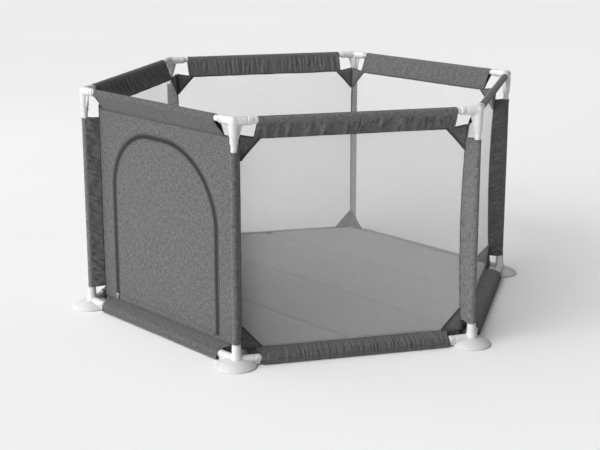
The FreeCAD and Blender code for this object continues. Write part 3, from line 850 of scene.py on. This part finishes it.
def arch(offset, low=DOOR_LOW, step=0.0045):
    """The zip's line moved outwards by offset, as (along, up) from the left foot to the right."""
    left, right = DOOR_LEFT - offset, DOOR_RIGHT + offset
    top = DOOR_HIGH + offset
    turn_left, turn_right = SHOULDER_LEFT + offset, SHOULDER_RIGHT + offset
    path = [(left, low)]
    for radius, centre, start in ((turn_left, left + turn_left, 180), (turn_right, right - turn_right, 90)):
        for turn in np.linspace(start, start - 90, 40):
            angle = math.radians(turn)
            path.append((centre + radius * math.cos(angle), top - radius + radius * math.sin(angle)))
    path.append((right, low))
    return resample(path, int(travelled(path)[-1] / step))


def door_points(flat, proud=0.0):
    """Points of the door wall from (x, up) pairs; the front's local +along is +X."""
    x, up = flat[..., 0], flat[..., 1]
    return place(SIDES["front"], PANEL_OUT + proud + panel_relief(SIDES["front"], x, up, 0.0011), x, up)


def make_door_wall():
    inner = arch(COIL_HALF * 0.6)
    inner = np.concatenate([inner, np.linspace(inner[-1], inner[0], 62)[1:-1]])
    # Each point of the doorway looks out to a point of the wall's edge.
    centre = np.array([(DOOR_LEFT + DOOR_RIGHT) / 2, (DOOR_LOW + DOOR_HIGH) / 2])
    way = inner - centre
    limit = np.where(way > 0, (PANEL_HALF, PANEL_HIGH), (-PANEL_HALF, PANEL_LOW)) - centre
    outer = centre + way * np.min(limit / way, axis=1)[:, None]
    for corner in product((-PANEL_HALF, PANEL_HALF), (PANEL_LOW, PANEL_HIGH)):
        nearest = np.argmin(np.linalg.norm(outer - corner, axis=1))
        outer[nearest] = corner
    shares = np.linspace(0.0, 1.0, 16)[:, None, None] ** 1.2
    flat = inner[None] * (1 - shares) + outer[None] * shares
    make_sheet(
        "door_wall",
        door_points(flat),
        grey_cloth,
        nodes=["door_panel"],
        thickness=DOOR_PLY,
        uv=np.concatenate([flat, flat[:, :1]], axis=1),
        closed=True,
    )


def make_door_flap():
    edge = arch(-COIL_HALF * 0.6)
    top = int(np.argmax(edge[:, 1]))
    left, right = edge[: top + 1], edge[top:][::-1]
    turns = np.linspace(0.0, 1.0, 84)
    heights = DOOR_LOW + (DOOR_HIGH - COIL_HALF * 0.6 - DOOR_LOW) * np.sin(turns * math.pi / 2) ** 0.9
    shares = (1 - np.cos(np.linspace(0.0, math.pi, 60))) / 2
    start = np.interp(heights, left[:, 1], left[:, 0])[:, None]
    end = np.interp(heights, np.maximum.accumulate(right[:, 1]), right[:, 0])[:, None]
    x = start + (end - start) * shares
    flat = np.stack([x, np.broadcast_to(heights[:, None], x.shape)], axis=-1)
    make_sheet(
        "door_cloth",
        door_points(flat),
        grey_cloth,
        nodes=["door_flap"],
        body=FLAP,
        thickness=DOOR_PLY,
        uv=flat,
    )


TAPE_OFFSET = 0.0032        # of each half's tape from the zip's line
# A turn of the coil is three rings of six points: (across, half its length, height) of the ring,
# by (along, rise) in those halves and heights.
COIL_RINGS = ((-0.0013, 0.00028, 0.00045), (-0.0003, 0.00042, 0.00075), (0.0014, 0.00036, 0.0005))
COIL_SECTION = ((1, -1), (1, 0.6), (0.5, 1), (-0.5, 1), (-1, 0.6), (-1, -1))


def zip_half(sign, tag, body, node):
    """Half a zip: its tape along the doorway and a row of coil turns that reach to the middle."""
    path = door_points(arch(sign * TAPE_OFFSET, DOOR_LOW + 0.0005))
    facing = DOOR_FACING
    tape = ribbon(f"zip_tape_{tag}", path + facing * 0.0009, facing, 0.0062, 0.0010, tape_cloth)
    ride(tape, body, "zip_coil")
    spine = door_points(arch(sign * 0.0012, DOOR_LOW + 0.002, step=0.0021))
    forward = unit(np.gradient(spine, axis=0))
    side = np.cross(forward, facing) * sign
    shift = 0.25 if sign > 0 else 0.75
    turns = []
    for index in range(len(spine) - 1):
        centre = spine[index] * (1 - shift) + spine[index + 1] * shift + facing * 0.0012
        rings = []
        for across, half, high in COIL_RINGS:
            spot = centre - side[index] * across
            rings.append([
                spot + forward[index] * along * half + facing * rise * high for along, rise in COIL_SECTION
            ])
        turns.append(rings)
    ride(lofted(f"zip_teeth_{tag}", turns, zip_plastic), body, "zip_coil", node)


def make_zip():
    zip_half(1.0, "wall", FRAME, "zipper_coil_panel")
    zip_half(-1.0, "flap", FLAP, "zipper_coil_flap")
    facing = DOOR_FACING
    welt = door_points(arch(0.0100, DOOR_LOW + 0.004))
    trim("door_welt", welt + facing * 0.0007, facing, 0.0016, 0.0011)
    for offset, body in ((0.0078, FRAME), (-0.0088, FLAP), (-0.0108, FLAP)):
        stitch(body, door_points(arch(offset, DOOR_LOW + 0.004)) + facing * 0.0008, facing)
    hem = np.linspace((DOOR_LEFT + 0.012, DOOR_LOW + 0.006), (DOOR_RIGHT - 0.012, DOOR_LOW + 0.006), 60)
    stitch(FLAP, door_points(hem) + facing * 0.0008, facing)


HINGE_HALF = 0.0060         # of the strip's height
HINGE_INSET = 0.010


def make_hinge_fold():
    """The strip of cloth along the flap's foot that the flap folds on."""
    run = np.linspace(DOOR_LEFT + HINGE_INSET, DOOR_RIGHT - HINGE_INSET, 90)
    x, up = np.meshgrid(run, DOOR_LOW + np.linspace(-HINGE_HALF, HINGE_HALF, 13))
    flat = np.stack([x, up], axis=-1)
    piece = surface("hinge_fold", door_points(flat, 0.0011), grey_cloth, uv=flat)
    thicken(piece, 0.0007)
    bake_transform(piece)


def casting(name, outline, thickness, hole=None, bevel=0.0004):
    """A small flat casting, given by its outline in (x, up)."""
    mesh = bmesh.new()
    edges = []
    for loop in [outline] + ([hole] if hole else []):
        verts = [mesh.verts.new((x, 0.0, z)) for x, z in loop]
        edges += [mesh.edges.new((verts[k], verts[(k + 1) % len(verts)])) for k in range(len(verts))]
    bmesh.ops.triangle_fill(mesh, use_beauty=True, edges=edges)
    data = bpy.data.meshes.new(name)
    mesh.to_mesh(data)
    mesh.free()
    piece = link(name, data, zip_metal)
    layer = piece.modifiers.new("Cast", "SOLIDIFY")
    layer.thickness = thickness
    layer.offset = 0.0
    edge = piece.modifiers.new("Edge", "BEVEL")
    edge.width = bevel
    edge.segments = 2
    edge.limit_method = "ANGLE"
    return settle(piece)


def moved_to(obj, origin):
    obj.data.transform(Matrix.Translation(origin))
    return obj


def ring_points(centre_z, radius_x, radius_z, count):
    turns = [2 * math.pi * k / count for k in range(count)]
    return [(radius_x * math.cos(turn), centre_z + radius_z * math.sin(turn)) for turn in turns]


# The right half of each outline. The slider's is in halves of its width and in its height, from
# the bottom; the pull tab's is in mm as (down from its top, half width).
SHIELD = ((0.55, -0.5), (0.8, -0.2), (1.0, 0.2), (0.92, 0.42), (0.5, 0.5))
TAB = ((0.3, 1.7), (1.6, 1.9), (3.5, 1.5), (6.0, 1.6), (9.0, 2.05), (11.5, 2.1), (13.6, 1.9), (15.2, 1.2))


def make_slider():
    """The zip's slider, shield-shaped with a bridge, and its pull tab."""
    low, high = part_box("zipper_slider")
    centre = (low + high) / 2
    half = (high.x - low.x) / 2
    height = high.z - low.z
    right = [(half * x, height * z) for x, z in SHIELD]
    left = [(-x, z) for x, z in reversed(right)]
    shield = left[-1:] + right + [(0.0, height * 0.4)] + left[:-1]
    face = Vector((centre.x, high.y - 0.0011, centre.z))
    plate = moved_to(casting("slider_plate", shield, 0.0021), face)
    pull_low, pull_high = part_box("zipper_pull")
    pull_middle = (pull_low + pull_high) / 2
    pivot = Vector((centre.x, pull_middle.y, pull_high.z - 0.0014))
    ears = []
    for side in (-1, 1):
        ear = casting("slider_ear", ring_points(0.0, 0.0013, 0.0014, 14), 0.0009, bevel=0.00025)
        ear.data.transform(Matrix.Rotation(math.radians(90), 4, "Z"))
        ears.append(moved_to(ear, Vector((pivot.x + side * 0.0029, pivot.y + 0.0006, pivot.z))))

    def pin(name, reach, thickness, count):
        path = [pivot + Vector((x, 0, 0)) for x in np.linspace(-reach, reach, 5)]
        return ribbon(name, path, (0.0, -1.0, 0.0), thickness, thickness, zip_metal, count)

    pieces = [plate, pin("slider_pin", 0.0031, 0.0012, 10)] + ears
    ride(join("slider_casting", pieces), SLIDER, "zip_metal", "zipper_slider")
    top = (pull_high.z - pull_low.z) / 2
    outline = [(width / 1000, top - down / 1000) for down, width in TAB]
    outline += [(-x, z) for x, z in reversed(outline)]
    eye = ring_points(0.0040 - top, 0.0011, 0.0018, 16)
    tab = moved_to(casting("pull_tab", outline, 0.0012, eye), Vector((centre.x, pivot.y, pull_middle.z)))
    barrel = pin("pull_barrel", 0.0019, 0.0026, 14)
    ride(join("pull_casting", [tab, barrel]), PULL, "zip_metal", "zipper_pull")


# ---------------------------------------------------------------- padded mat

MAT_SEAMS = (-0.26, 0.0, 0.26)
MAT_RIM = 0.006             # breadth of the rolled rim
MAT_EASE = 0.0015           # how far the padding swells out past the plain mat
SEAM_DEPTH = 0.0075


def clustered(low, high, marks, step, fine):
    """Values from low to high, closer together near the marks."""
    near = [mark + sign * distance for mark, distance, sign in product(marks, fine, (-1, 1))]
    values = sorted([*np.arange(low, high, step), high, *(spot for spot in near if low < spot < high)])
    kept = [values[0]]
    for value in values[1:]:
        if value - kept[-1] > 0.0007:
            kept.append(value)
    kept[-1] = high
    return np.array(kept)


def make_mat():
    """
    The floor mat: four padded strips between three sewn seams, rolled over at its rim.
    Its swell and the puckers along the seams are shaped in code.
    """
    low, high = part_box("floor_mat")
    radius = high.x + MAT_EASE
    reach = radius * COS30
    waist = (low.z + high.z) / 2
    half_thick = (high.z - low.z) / 2
    near_seam = (0.0, 0.0015, 0.003, 0.0045, 0.0065, 0.009, 0.012)
    near_end = (0.0, 0.004, 0.008, 0.013, 0.018, 0.024, 0.032)
    lines = clustered(-reach, reach, (*MAT_SEAMS, -reach, reach), 0.011, near_seam)
    shares = clustered(-1.0, 1.0, (-1.0, 1.0), 0.021, near_end)
    half = radius - np.abs(lines[:, None]) * TAN30
    x = shares * half
    y = np.broadcast_to(lines[:, None], x.shape)
    to_seam = np.min([np.abs(y - seam) for seam in MAT_SEAMS], axis=0)
    edge = np.minimum((half - np.abs(x)) * COS30, reach - np.abs(y))
    roll = np.sqrt(np.maximum(1.0 - (1.0 - np.minimum(edge / MAT_RIM, 1.0)) ** 2, 0.0))
    pucker = ripple(x / 0.022, y / 0.3, 3.3 + np.round(y * 4)) * np.exp(-to_seam / 0.020)
    pucker += ripple(x / 0.030, y / 0.030, 8.8) * np.exp(-edge / 0.035) * 1.1
    swell = ripple(x / 0.19, y / 0.15, 1.7) * 0.0016 + pucker * 0.0011
    groove = SEAM_DEPTH * np.exp(-((to_seam / 0.0042) ** 1.3))
    crown = 0.0030 * (1.0 - np.exp(-to_seam / 0.045)) - 0.0030
    under = 0.0008 + np.abs(ripple(x / 0.2, y / 0.2, 22.0)) * 0.0004
    top = np.stack([x, y, waist + roll * (half_thick + crown - groove + swell)], axis=-1)
    bottom = np.stack([x, y, waist - roll * (half_thick - under)], axis=-1)[:, ::-1]
    upper = surface("mat_top", top, mat_cloth, uv=top[..., :2])
    lower = surface("mat_bottom", bottom, mat_cloth, uv=bottom[..., :2])
    piece = rework(join("mat_pad", [upper, lower]), merge_rims)
    ride(piece, FRAME, "mat_cloth", "floor_mat")
    path = []
    for corner in range(6):
        start = place(60 * corner, radius - 0.0005, 0.0, waist)
        end = place(60 * corner + 60, radius - 0.0005, 0.0, waist)
        path += [start * (1 - share) + end * share for share in np.linspace(0.015, 0.985, 40)]
    path.append(path[0])
    piping = ribbon("mat_piping", path, (0.0, 0.0, 1.0), 0.0036, 0.0044, mat_cloth)
    ride(piping, FRAME, "mat_cloth")
    for seam in MAT_SEAMS:
        row = top[int(np.argmin(np.abs(lines - seam)))]
        row = row[np.abs(row[:, 0]) < radius - abs(seam) * TAN30 - 0.02]
        stitch(FRAME, row + np.array([0.0, 0.0, 0.0004]), (0.0, 0.0, 1.0), 0.0052, 0.0036)


# ---------------------------------------------------------------- plastic corners and feet
# Sizes in this section are in millimetres.

def turned(name, profile, direction=None, up=0.0, material=white_plastic, steps=48):
    """A turned solid from (along its axis, radius) pairs: upright, or lying in a direction."""
    turn = Matrix.Identity(4)
    if direction is not None:
        turn = Matrix.Rotation(math.radians(direction), 4, "Z") @ Matrix.Rotation(math.radians(90), 4, "Y")
    turn = Matrix.Translation(Vector((0.0, 0.0, up)) / 1000) @ turn @ Matrix.Scale(0.001, 4)
    angles = [2 * math.pi * k / steps for k in range(steps)]
    rings = []
    for along, radius in profile:
        ring = [Vector((radius * math.cos(angle), radius * math.sin(angle), along)) for angle in angles]
        rings.append([turn @ spot for spot in ring])
    return rework(lofted(name, [rings], material))


def block(name, direction, corners):
    """A convex block on an arm, from its corners as (along the arm, across it, up)."""
    mesh = bmesh.new()
    for corner in place(direction, *np.array(list(corners)).T):
        mesh.verts.new(Vector(corner) / 1000)
    bmesh.ops.convex_hull(mesh, input=mesh.verts)
    data = bpy.data.meshes.new(name)
    mesh.to_mesh(data)
    mesh.free()
    return link(name, data, white_plastic)


def subtract(target, tools):
    for tool in tools:
        step = target.modifiers.new("Cut", "BOOLEAN")
        step.operation = "DIFFERENCE"
        step.object = tool
        step.solver = "EXACT"
    settle(target)
    for tool in tools:
        bpy.data.objects.remove(tool)


def moulded(name, solids, voids):
    """One moulding: the solids run together with small fillets, then cut by the voids."""
    body = join(name, solids)
    melt = body.modifiers.new("Melt", "REMESH")
    melt.mode = "VOXEL"
    melt.voxel_size = 0.0009
    soft = body.modifiers.new("Soft", "SMOOTH")
    soft.factor = 0.5
    soft.iterations = 5
    settle(body)
    thin = body.modifiers.new("Thin", "DECIMATE")
    thin.ratio = 0.16
    settle(body)
    subtract(body, voids)
    body.data.materials.clear()
    body.data.materials.append(white_plastic)
    body.data.shade_smooth()
    edge = body.modifiers.new("Crisp", "EDGE_SPLIT")
    edge.split_angle = math.radians(48)
    return settle(body)


def arm_parts(length, height, keel=None):
    """The two socket arms of a corner piece, and what is cut out of them."""
    solids = []
    voids = []
    profile = [
        (0.0, 12.4), (length - 17.0, 11.2), (length - 15.5, 10.2), (length - 13.0, 10.1),
        (length - 12.0, 11.3), (length - 1.2, 11.0), (length, 10.3),
    ]
    bore = [(length - 14.0, BORE_RADIUS), (length + 4.0, BORE_RADIUS)]
    for direction, out in ((120, -1), (-120, 1)):
        solids.append(turned("arm", profile, direction, height))
        voids.append(turned("bore", bore, direction, height))
        slot = product((length - 10.2, length - 3.6), (out * 4.0, out * 16.0), (height - 3.6, height + 3.6))
        voids.append(block("slot", direction, slot))
        if keel is not None:
            corners = product((0.0, length - 1.0), (-7.4, 7.4), (keel, height))
            solids.append(block("keel", direction, corners))
    return solids, voids


def stand_at_corners(master, name, slot, node, height=0.0):
    for corner, angle in CORNERS.items():
        piece = bpy.data.objects.new(f"{name}_{corner}", master.data.copy())
        bpy.context.scene.collection.objects.link(piece)
        turn = Matrix.Rotation(math.radians(angle), 4, "Z")
        piece.data.transform(turn @ Matrix.Translation(Vector((CORNER_RADIUS, 0.0, height))))
        ride(piece, FRAME, slot, f"{node}_{corner}")
    bpy.data.objects.remove(master)


HUB = ((-12.0, 5.0), (-9.5, 9.5), (-5.0, 12.4), (0.0, 13.2), (6.0, 12.4), (10.5, 8.6), (12.4, 3.0))
TOP_SOCKET = ((-58.0, 10.0), (-57.0, 10.6), (-41.0, 10.7), (-39.5, 12.0), (-20.0, 12.3), (0.0, 12.6))
WEB = ((4.0, 0.0), (24.0, -4.0), (22.0, -12.0), (10.5, -50.0), (4.0, -50.0))
BASE_SOCKET = (
    (3.0, 13.0), (14.0, 15.4), (18.0, 16.6), (22.5, 16.8), (26.0, 15.2), (31.0, 13.1), (38.0, 12.1),
    (56.6, 11.6), (58.0, 10.9),
)
FOOT = (
    (0.0, 50.5), (0.0, 52.6), (0.7, 53.4), (2.3, 53.5), (3.8, 53.0), (5.2, 51.8), (6.6, 49.4),
    (8.2, 47.0), (11.0, 43.2), (14.4, 36.6), (17.2, 28.4), (19.2, 21.0), (20.4, 16.0), (20.9, 8.0),
)


def make_top_corners():
    hub = turned("hub", HUB)
    socket = turned("socket", TOP_SOCKET)
    solids, voids = arm_parts(49.0, 0.0)
    for direction in (120, -120):
        spots = [(along, across, up) for across in (-2.0, 2.0) for along, up in WEB]
        solids.append(block("web", direction, spots))
    voids.append(turned("bore", [(-62.0, BORE_RADIUS), (-40.0, BORE_RADIUS)]))
    body = moulded("top_corner", [hub, socket] + solids, voids)
    stand_at_corners(body, "corner_top", "white_plastic", "top_connector", RAIL_UP)


def make_bottom_corners():
    socket = turned("socket", BASE_SOCKET)
    solids, voids = arm_parts(62.0, BASE_UP * 1000, keel=3.0)
    voids.append(turned("bore", [(40.0, BORE_RADIUS), (62.0, BORE_RADIUS)]))
    body = moulded("bottom_corner", [socket] + solids, voids)
    stand_at_corners(body, "corner_base", "white_plastic", "bottom_connector")


def make_feet():
    """Round feet: a soft flange, a step and a full dome."""
    foot = turned("foot", rounded(FOOT, 46).tolist(), material=foot_plastic)
    stand_at_corners(foot, "foot_disc", "foot_plastic", "foot")


def finish_tubes():
    for name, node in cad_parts.items():
        if "_rail_" in name or (name.startswith("post_") and name != "post_sleeves"):
            node.data.materials.clear()
            node.data.materials.append(white_tube)


# ---------------------------------------------------------------- studio

def look_along(way):
    return way.to_track_quat("-Z", "Y").to_matrix().to_4x4()


def make_camera():
    data = bpy.data.cameras.new("Camera")
    camera = bpy.data.objects.new("Camera", data)
    bpy.context.scene.collection.objects.link(camera)
    data.sensor_width = 36.0
    data.lens = 72.03
    data.shift_y = -0.10
    data.clip_end = 200.0
    yaw, pitch = math.radians(-45.90), math.radians(12.88)
    forward = Vector((math.sin(yaw) * math.cos(pitch), math.cos(yaw) * math.cos(pitch), -math.sin(pitch)))
    camera.matrix_world = Matrix.Translation((2.500, -2.441, 1.186)) @ look_along(forward)
    bpy.context.scene.camera = camera


def add_light(name, kind, azimuth, elevation, distance, energy):
    """A light that looks at the pen's centre; returns its settings."""
    data = bpy.data.lights.new(name, kind)
    data.energy = energy
    lamp = bpy.data.objects.new(name, data)
    bpy.context.scene.collection.objects.link(lamp)
    azimuth, elevation = math.radians(azimuth), math.radians(elevation)
    level = math.cos(elevation)
    way = Vector((math.cos(azimuth) * level, math.sin(azimuth) * level, math.sin(elevation)))
    lamp.matrix_world = Matrix.Translation(way * distance) @ look_along(-way)
    return data


FLOOR_HALF = 40.0
FLOOR_DROP = 0.0002


def make_studio():
    world = bpy.data.worlds.new("Studio")
    world.use_nodes = True
    background = world.node_tree.nodes["Background"]
    background.inputs[0].default_value = (1.0, 1.0, 1.0, 1.0)
    background.inputs[1].default_value = 0.27
    bpy.context.scene.world = world
    add_light("Key", "SUN", 262, 24, 5.0, 1.25 * math.pi).angle = math.radians(60)
    add_light("High", "SUN", 210, 60, 5.0, 0.36 * math.pi).angle = math.radians(60)
    add_light("Side", "AREA", 190, 35, 3.5, 7.0).size = 2.5
    line = np.linspace(-FLOOR_HALF, FLOOR_HALF, 9)
    grid = np.stack(np.meshgrid(line, line, [0.0], indexing="ij"), axis=-1)[:, :, 0]
    material, tree, shader = blank_material("floor", Roughness=0.85, Specular_IOR_Level=0.1)
    where = add_node(tree, "ShaderNodeTexCoord", output="Object")
    drive(tree, shader, (0.79, 0.79, 0.793), spread(tree, noise_node(tree, where, 0.7), 0.98, 1.02))
    floor = surface("floor", grid, material)
    floor.location.z = -FLOOR_DROP
    bpy.context.scene.view_settings.view_transform = "Standard"


make_camera()
make_studio()
make_top_sleeves()
make_bottom_sleeves()
make_post_sleeves()
make_nets()
make_gussets()
make_seams()
make_shaded_corner_flaps()
make_door_wall()
make_door_flap()
make_zip()
make_hinge_fold()
make_slider()
make_mat()
make_top_corners()
make_bottom_corners()
make_feet()
sew(FRAME, "stitching_cover")
sew(FLAP, "stitching_door")
finish_tubes()
